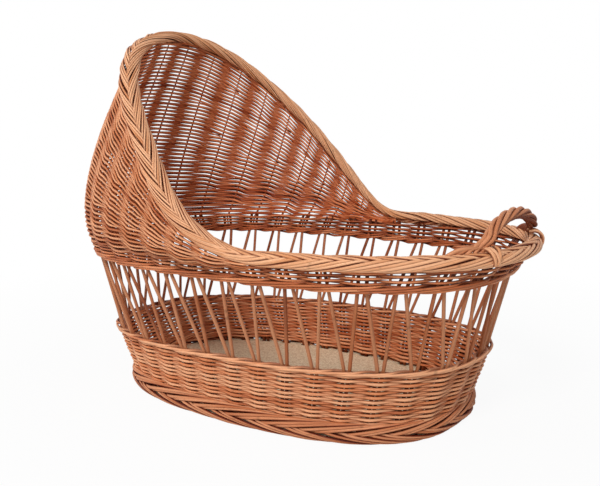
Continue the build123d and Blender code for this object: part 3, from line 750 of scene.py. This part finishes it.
def plaited(line, spec, faces, bundleFor):
    # two kinds of rods that mirror each other: each starts under the others in the middle of the face, swings
    # out to one edge and round to the back; groups of them bulge and hide where the groups they cross start
    length = gapsOf(line).sum()
    count = int(length / plait["every"])
    line = evenly(line, count)
    ways = unit(np.gradient(line, axis=0))
    face = faces(line)
    face = unit(face - ways * dot(face, ways))
    wide = np.cross(ways, face)
    at = np.linspace(0, length, count)
    turn = np.radians(np.linspace(plait["from"], plait["to"], plait["steps"]))
    swing = spec["swing"] * (turn - turn[0]) / math.pi
    rising, falling = 1 - ease((turn - turn[0]) / plait["rise"]), ease((turn - turn[-1]) / plait["fall"] + 1)
    dip = spec["dip"] * (rising + falling)
    groupRun = spec["apart"] * spec["group"]
    for side in (-1, 1):
        for rod in range(int((length + spec["swing"]) / groupRun) * spec["group"]):
            group, place = divmod(rod, spec["group"])
            start = (group + (0.5 if side > 0 else 0.0)) * groupRun - spec["swing"] * plait["ahead"]
            start += (place - (spec["group"] - 1) / 2) * spec["apart"] * spec["close"]
            run = start + chance.normal(0, spec["loose"]) + swing
            kept = (run > 0) & (run < length)
            if kept.sum() < 4:
                continue
            run, around = run[kept], turn[kept]
            nearEnd = np.minimum(run, length - run) / length
            size = growing(nearEnd, spec["least"], spec["grow"])
            off = (2 * place + 1) / spec["group"] - 1
            lift = (spec["bulge"] * (plait["middleUp"] - off * off) - dip[kept]) * size
            lift = lift + chance.normal(0, plait["uneven"])
            middle, across, out = [alongLine(run, at, part) for part in (line, wide, face)]
            outward = unit(across * (side * np.sin(around))[:, None] + out * np.cos(around)[:, None])
            path = middle + across * (side * spec["wide"] * np.sin(around) * size)[:, None]
            path = path + out * (spec["deep"] * np.cos(around) * size)[:, None] + outward * lift[:, None]
            taper = np.interp(np.linspace(0, 1, len(run)), (0, 0.5, 1), (plait["butt"], 1, plait["tip"]))
            radius = spec["radius"] * growing(nearEnd, spec["thin"], spec["taper"])
            radius = radius * chance.uniform(*plait["thick"]) * taper
            bundle = bundleFor(group, side)
            addRod(bundle, path, radius, outward, chance.uniform(0.25, 1.0), plait["sides"],
                   crease=plait["crease"])
            # painted shade where the rod dips under the others at the ends of its swing
            sunk = np.repeat(np.clip(dip[kept] / spec["dip"], 0, 1), plait["sides"])
            bundle["deep"][-1] = np.maximum(bundle["deep"][-1], sunk)
    # the core, hidden inside the plait, is given a dark tone and full painted shade
    bundle = bundleFor(0, -1)
    size = growing(np.minimum(at, length - at) / length, spec["least"], spec["grow"])
    addRod(bundle, line, spec["core"] * size, face, plait["coreTone"], plait["sides"])
    bundle["deep"][-1] += 1.0


def plaitedStrands(name, node, line, spec, faces):
    bundles = [newBundle() for strand in range(3)]
    plaited(line, spec, faces, lambda group, side: bundles[group % 3])
    for strand, bundle in enumerate(bundles, 1):
        makePiece(f"{name}{strand}", bundle, borderWillow, [f"{node}_{strand}"])


plaitedStrands("hoodBorder", "hood_border_strand", hoodEdge, plait["hood"], lambda line: faceOf(line, 0.0))

leadAngle = angleAt(rimEdge, basket["rimLead"][0])
onward = int(plait["rimStart"] * len(hoodEdge))
rimLine = evenly(ovalPoint(rimEdge, np.linspace(leadAngle, -leadAngle, hood["edgeSteps"])), 1000)
wholeLine = evenly(np.concatenate([hoodEdge[-onward:], rimLine[1:-1], hoodEdge[:onward]]), 2000)
dropped = ease((wholeLine[:, :1] - plait["dropFade"][0]) / plait["dropFade"][1])
wholeLine = wholeLine - upwards * plait["rim"]["drop"] * dropped
plaitedStrands("rimBorder", "rim_border_strand", wholeLine, plait["rim"],
               lambda line: faceOf(line, ease((line[:, :1] - plait["rimFade"][0]) / plait["rimFade"][1])))

# ---- Foot: the stakes' ends plaited round under the wall, one kind up over the wall's foot and one down ----
# the seat is a rod under the board's edge, within the plait
foot = {"seatIn": 6.0, "seatUp": 3.0, "seatRadius": 2.9, "seatTone": 0.4, "overlap": 4, "steps": 1600}
footSpec = plait["foot"]
footAngles = angleOf(np.linspace(0, basket["pairs"] + foot["overlap"], foot["steps"]))
footOut = ovalOut(boardRing, footAngles)
footLine = ovalPoint(boardRing, footAngles) * (1, 1, 0)
footParts = {1: newBundle(), -1: newBundle()}
footMiddle = footLine + footOut * footSpec["out"] + upwards * footSpec["height"]
plaited(footMiddle, footSpec, lambda line: unit((line - footSpec["height"] * upwards) * (0.5, 1.0, 0.0)),
        lambda group, side: footParts[side])
addRod(footParts[-1], footLine - footOut * foot["seatIn"] + upwards * foot["seatUp"], foot["seatRadius"],
       footOut, foot["seatTone"])
makePiece("footBorder", footParts[-1], darkWillow, ["foot_border"])
makePiece("footWales", footParts[1], darkWillow, ["foot_wale_1", "foot_wale_2"])

# ---- Handle: rods roped over the foot end, their ends fanned over the border and lashed down ----
handle = {
    "halfSpan": 96.0, "rise": 52.0, "lift": 1.0, "crownFrom": 0.12, "crownSteps": 13,
    "rods": 5, "radius": 3.6, "round": 6.2, "pitch": 200.0, "core": 3.0, "tones": (0.35, 1.35),
    "fan": 14.0, "fanFirst": 6.0, "sink": 5.0, "press": 0.6, "pathSteps": 64, "sides": 8, "crease": 0.9,
}
lashing = {
    "radius": 2.8, "press": 0.4, "back": 20.4, "from": 120.0, "to": -55.0, "steps": 24, "tones": (0.3, 0.9),
    # where each starts and ends along the border, counted from "back" before the leg
    "rods": ((26.0, 13.0), (20.0, 7.0), (4.0, 12.0)),
    "tuck": (1.0, 3.0, 5.0),                # how far its last points go in
}
legTurn = math.asin((handle["halfSpan"] / rimEdge["b"]) ** (rimEdge["power"] / 2))
leg = ovalPoint(rimEdge, legTurn)
legTop = leg[2] + basket["ropeOut"] + handle["lift"]
share = np.linspace(handle["crownFrom"], 1 - handle["crownFrom"], handle["crownSteps"])
rise = leg[2] + handle["rise"] - legTop
crown = np.stack([np.full_like(share, leg[0]), -handle["halfSpan"] * np.cos(math.pi * share),
                  legTop + rise * np.sin(math.pi * share)], -1)
crownWay = unit(np.gradient(crown, axis=0))
crownIn = np.broadcast_to([1.0, 0.0, 0.0], crown.shape)
crownAcross = np.cross(crownIn, crownWay)
crownRun = runOf(crown)
footEndAngles, footEndRuns = runsOf(rimEdge, -math.pi / 2, math.pi / 2)


def onBorder(side, distance, around, height):
    # a point by the rim, a distance from the leg towards the hood, turned round the border and off its middle
    run = np.interp(side * legTurn, footEndAngles, footEndRuns) + side * distance
    angle = np.interp(run, footEndRuns, footEndAngles)
    around = np.radians(np.asarray(around, float))[..., None]
    way = ovalOut(rimEdge, angle) * np.cos(around) + upwards * np.sin(around)
    return ovalPoint(rimEdge, angle) + way * np.asarray(height)[..., None]


def rodEnd(side, order):                # its tip pressed into the border's top, and where it leaves it
    distance = handle["fanFirst"] + handle["fan"] * order
    return [onBorder(side, distance, 110.0, basket["ropeOut"] - handle["sink"]),
            onBorder(side, distance * 0.7, 100.0, basket["ropeOut"] + handle["radius"] - handle["press"])]


handleBundle, wrapBundle = newBundle(), newBundle()
handleMiddle = (leg[0], 0.0, legTop)
for rod in range(handle["rods"]):
    turn = 2 * math.pi * (crownRun / handle["pitch"] + rod / handle["rods"])[:, None]
    roped = crown + (crownIn * np.cos(turn) + crownAcross * np.sin(turn)) * handle["round"]
    points = np.concatenate([rodEnd(-1, rod), roped, rodEnd(1, handle["rods"] - 1 - rod)[::-1]])
    path = lineThrough(points, handle["pathSteps"])
    addRod(handleBundle if rod == 0 else wrapBundle, path, handle["radius"], unit(path - handleMiddle),
           chance.uniform(*handle["tones"]), handle["sides"], crease=handle["crease"])
# the core, hidden inside the wraps, gets full painted shade
addRod(handleBundle, crown, handle["core"], crownIn, 0.3)
handleBundle["deep"][-1] += 1.0
makePiece("handleCore", handleBundle, darkWillow, ["handle_core"])
makePiece("handleWraps", wrapBundle, darkWillow, ["handle_wraps"])
# two rods down one way and one the other, meeting in a V under the outside of the border
for name, side in (("near", -1), ("far", 1)):
    bundle = newBundle()
    for start, end in lashing["rods"]:
        around = np.linspace(lashing["from"], lashing["to"], lashing["steps"])
        distance = np.linspace(start, end, lashing["steps"]) - lashing["back"]
        height = np.full(lashing["steps"], basket["ropeOut"] + lashing["radius"] - lashing["press"])
        height[-3:] -= lashing["tuck"]
        path = np.array([onBorder(side, d, a, h) for d, a, h in zip(distance, around, height)])
        away = unit(path - onBorder(side, distance.mean(), 0.0, 0.0))
        addRod(bundle, path, lashing["radius"], away, chance.uniform(*lashing["tones"]), handle["sides"],
               crease=handle["crease"])
    makePiece("handleLashing" + name.capitalize(), bundle, borderWillow, ["handle_lashing_" + name])
print("handle made")

# ---- Camera, floor and light ----
view = {
    "azimuth": 33.6, "elevation": 10.5, "distance": 1.5668, "lens": 52.55,
    "target": (-0.0136, 0.0323, 0.2558),
}
azimuth, elevation = math.radians(view["azimuth"]), math.radians(view["elevation"])
level = np.array([math.sin(azimuth), -math.cos(azimuth), 0.0])
back = level * math.cos(elevation) + upwards * math.sin(elevation)
cameraData = bpy.data.cameras.new("camera")
cameraData.lens, cameraData.sensor_width = view["lens"], 36.0
camera = newObject("camera", cameraData)
camera.location = np.array(view["target"]) + back * view["distance"]
camera.rotation_euler = (math.pi / 2 - elevation, 0.0, azimuth)
bpy.context.scene.camera = camera


def paleStage(name, half=20.0, near=0.5, far=1.2, plainNear=0.93, grey=0.9):
    # matt white paper: pale to the light that bounces off it, and to the camera nearly plain white near the
    # middle and wholly so further off
    mesh = bpy.data.meshes.new(name)
    mesh.from_pydata([(-half, -half, 0), (half, -half, 0), (half, half, 0), (-half, half, 0)], [],
                     [(0, 1, 2, 3)])
    material, tree = newMaterial(name)
    place = addNode(tree, "ShaderNodeTexCoord")
    distance = addNode(tree, "ShaderNodeVectorMath", links=[(0, place, "Object")], operation="LENGTH")
    white = mapped(tree, distance, "Value", near, far, plainNear, 1.0)
    ray = addNode(tree, "ShaderNodeLightPath")
    shown = addNode(tree, "ShaderNodeMath", links=[(0, white, 0), (1, ray, "Is Camera Ray")],
                    operation="MULTIPLY")
    paper = addNode(tree, "ShaderNodeBsdfPrincipled", {"Base Color": (grey, grey, grey, 1), "Roughness": 0.9})
    plain = addNode(tree, "ShaderNodeEmission", {"Color": (1, 1, 1, 1), "Strength": 1.0})
    mixed = addNode(tree, "ShaderNodeMixShader", links=[(0, shown, 0), (1, paper, 0), (2, plain, 0)])
    addNode(tree, "ShaderNodeOutputMaterial", links=[("Surface", mixed, 0)])
    mesh.materials.append(material)
    newObject(name, mesh)


def softLamp(name, place, size, power, aim=(0.0, 0.0, 0.3)):
    data = bpy.data.lights.new(name, "AREA")
    data.shape, data.size, data.energy = "DISK", size, power
    lamp = newObject(name, data)
    lamp.location = place
    way = np.array(aim) - np.array(place)
    tilt = math.acos(-way[2] / np.linalg.norm(way))
    lamp.rotation_euler = (tilt, 0.0, math.atan2(way[1], way[0]) - math.pi / 2)


paleStage("floor")
softLamp("keyLamp", (0.7, -2.6, 2.5), size=1.0, power=62.0)
softLamp("fillLamp", (-2.4, -1.6, 1.6), size=2.0, power=18.0)

# the world is plain white where it is seen or mirrored, and dimmer as a light
skyLight = 0.36
world = bpy.data.worlds.new("world")
bpy.context.scene.world = world
world.use_nodes = True
sky = world.node_tree
sky.nodes.clear()
dim = addNode(sky, "ShaderNodeBackground", {"Color": (1, 1, 1, 1), "Strength": skyLight})
seen = addNode(sky, "ShaderNodeBackground", {"Color": (1, 1, 1, 1), "Strength": 1.0})
ray = addNode(sky, "ShaderNodeLightPath")
direct = addNode(sky, "ShaderNodeMath", links=[(0, ray, "Is Camera Ray"), (1, ray, "Is Glossy Ray")],
                 operation="MAXIMUM")
mixed = addNode(sky, "ShaderNodeMixShader", links=[(0, direct, 0), (1, dim, 0), (2, seen, 0)])
addNode(sky, "ShaderNodeOutputWorld", links=[("Surface", mixed, 0)])
bpy.context.scene.view_settings.view_transform = "Standard"
print("scene lit")
